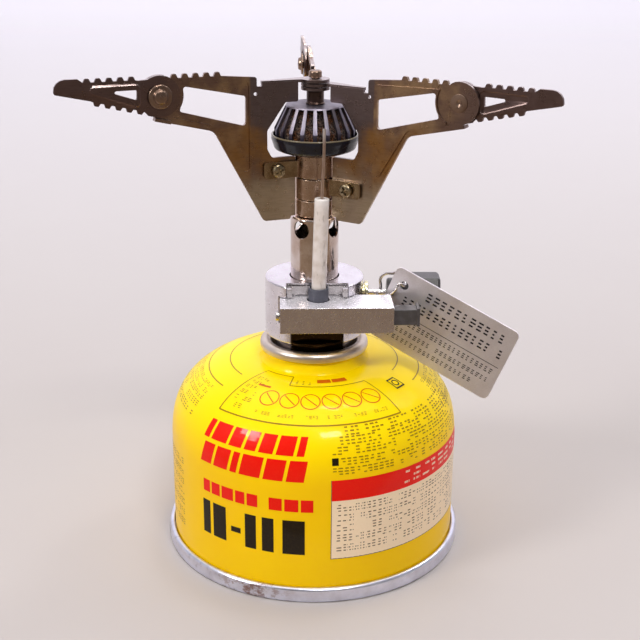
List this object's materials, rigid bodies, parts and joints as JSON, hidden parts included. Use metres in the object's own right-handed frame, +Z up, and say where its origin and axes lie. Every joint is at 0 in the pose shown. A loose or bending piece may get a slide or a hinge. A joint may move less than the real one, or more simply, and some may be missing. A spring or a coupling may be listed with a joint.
{
  "type": "canister stove",
  "caption": "Screw-on canister stove with folding serrated pot supports, a slotted burner head, push-button igniter, hex-grip valve knob and a domed fuel canister.",
  "frame": {"origin": "centre of the canister's foot ring, on the ground", "axes": "+Z up along the burner's axis; +X towards the valve knob; -Y is the front, where the igniter and the tag are"},
  "size_m": [0.1305, 0.1171, 0.1441],
  "materials": {
    "canister_paint": "gloss yellow lacquer",
    "tinplate": "bare tinplate",
    "rubber": "matt black rubber",
    "satin_aluminium": "satin machined",
    "chrome": "bright plated tube",
    "brass": "machined brass",
    "spring_steel": "plain steel",
    "heat_tinted_steel": "stamped steel browned by heat",
    "copper_tinted_steel": "steel strap tinted copper by heat",
    "black_enamel": "glossy blue-black enamel",
    "grey_steel": "pressed steel, grey",
    "burnt_mesh": "burnt flame mesh",
    "ceramic": "glazed ceramic",
    "dark_plastic": "moulded dark plastic"
  },
  "bodies": {
    "canister": {"canister_shell": "canister_paint", "canister_base": "tinplate", "valve_cup": "tinplate", "valve_housing": "dark_plastic", "valve_gasket": "rubber", "valve_spring": "spring_steel"},
    "thread_seal": {"adapter_o_ring": "rubber"},
    "valve_stem": {"valve_stem": "brass"},
    "stove": {"canister_adapter": "satin_aluminium", "actuator_pin": "spring_steel", "base_housing": "satin_aluminium", "mixing_tube": "chrome", "jet_nozzle": "brass", "burner_stem": "copper_tinted_steel", "burner_bowl": "black_enamel", "flame_mesh": "burnt_mesh", "burner_crown": "grey_steel", "burner_post": "black_enamel", "pivot_rivet": "copper_tinted_steel", "gland_nut": "brass", "igniter_case": "satin_aluminium", "igniter_pin": "spring_steel", "piezo_crystal": "ceramic", "piezo_hammer": "spring_steel", "igniter_bracket": "grey_steel", "electrode_boot": "dark_plastic", "ceramic_insulator": "ceramic", "electrode_wire": "copper_tinted_steel"},
    "knob": {"control_knob": "dark_plastic", "knob_screw": "spring_steel", "valve_spindle": "spring_steel"},
    "button": {"igniter_button": "dark_plastic", "button_spring": "spring_steel"},
    "tag_ring": {"tag_ring": "spring_steel"},
    "tag": {"id_tag": "satin_aluminium"},
    "left_support": {"left_support_plate": "heat_tinted_steel", "left_hinge_band": "copper_tinted_steel", "left_hinge_screw": "spring_steel", "left_hinge_nut": "spring_steel", "left_arm_rivet": "heat_tinted_steel"},
    "left_arm": {"left_outer_arm": "heat_tinted_steel"},
    "right_support": {"right_support_plate": "heat_tinted_steel", "right_hinge_band": "copper_tinted_steel", "right_hinge_screw": "spring_steel", "right_hinge_nut": "spring_steel", "right_arm_rivet": "heat_tinted_steel"},
    "right_arm": {"right_outer_arm": "heat_tinted_steel"},
    "rear_support": {"rear_support_plate": "heat_tinted_steel", "rear_hinge_band": "copper_tinted_steel", "rear_hinge_screw": "spring_steel", "rear_hinge_nut": "spring_steel", "rear_arm_rivet": "heat_tinted_steel"},
    "rear_arm": {"rear_outer_arm": "heat_tinted_steel"}
  },
  "joints": [
    {"name": "stove_lift", "type": "slide", "parent": "canister", "child": "thread_seal", "axis": [0, 0, 1], "range_m": [0, 0.00816]},
    {"name": "stove_turn", "type": "hinge", "parent": "thread_seal", "child": "stove", "pos_m": [0, 0, 0.0665], "axis": [0, 0, 1], "range_deg": [0, 3240]},
    {"name": "valve_stem_rise", "type": "slide", "parent": "canister", "child": "valve_stem", "axis": [0, 0, 1], "range_m": [0, 0.001], "deforming": ["valve_spring"]},
    {"name": "knob_turn", "type": "hinge", "parent": "stove", "child": "knob", "pos_m": [0.03, 0, 0.0782], "axis": [1, 0, 0], "range_deg": [0, 540]},
    {"name": "button_press", "type": "slide", "parent": "stove", "child": "button", "axis": [-0.9994, -0.0349, 0], "range_m": [0, 0.004], "stiffness_N_per_m": 2000},
    {"name": "tag_ring_slide", "type": "slide", "parent": "stove", "child": "tag_ring", "axis": [1, 0, 0], "range_m": [-0.0008, 0.0008]},
    {"name": "tag_swing", "type": "hinge", "parent": "tag_ring", "child": "tag", "pos_m": [0.02623, -0.00692, 0.08256], "axis": [-0.4036, -0.9108, 0.0872], "range_deg": [-3, 15]},
    {"name": "left_support_turn", "type": "hinge", "parent": "stove", "child": "left_support", "pos_m": [0, 0, 0.12], "axis": [0, 0, 1], "range_deg": [-76, 35]},
    {"name": "left_arm_fold", "type": "hinge", "parent": "left_support", "child": "left_arm", "pos_m": [-0.0419, -0.01488, 0.13847], "axis": [-0.3346, 0.9424, 0], "range_deg": [0, 166]},
    {"name": "right_support_turn", "type": "hinge", "parent": "stove", "child": "right_support", "pos_m": [0, 0, 0.12], "axis": [0, 0, 1], "range_deg": [-18, 66]},
    {"name": "right_arm_fold", "type": "hinge", "parent": "right_support", "child": "right_arm", "pos_m": [0.03786, -0.02332, 0.13847], "axis": [-0.5244, -0.8515, 0], "range_deg": [0, 166]},
    {"name": "rear_support_turn", "type": "hinge", "parent": "stove", "child": "rear_support", "pos_m": [0, 0, 0.12], "axis": [0, 0, 1], "range_deg": [-10, 10]},
    {"name": "rear_arm_fold", "type": "hinge", "parent": "rear_support", "child": "rear_arm", "pos_m": [-0.00208, 0.04441, 0.13847], "axis": [0.9989, 0.0468, 0], "range_deg": [0, 166]}
  ],
  "couplings": [
    {"joint": "stove_turn", "follows": "stove_lift", "rad_per_m": 6926.2},
    {"joint": "valve_stem_rise", "follows": "stove_lift", "ratio": 0.12245}
  ]
}
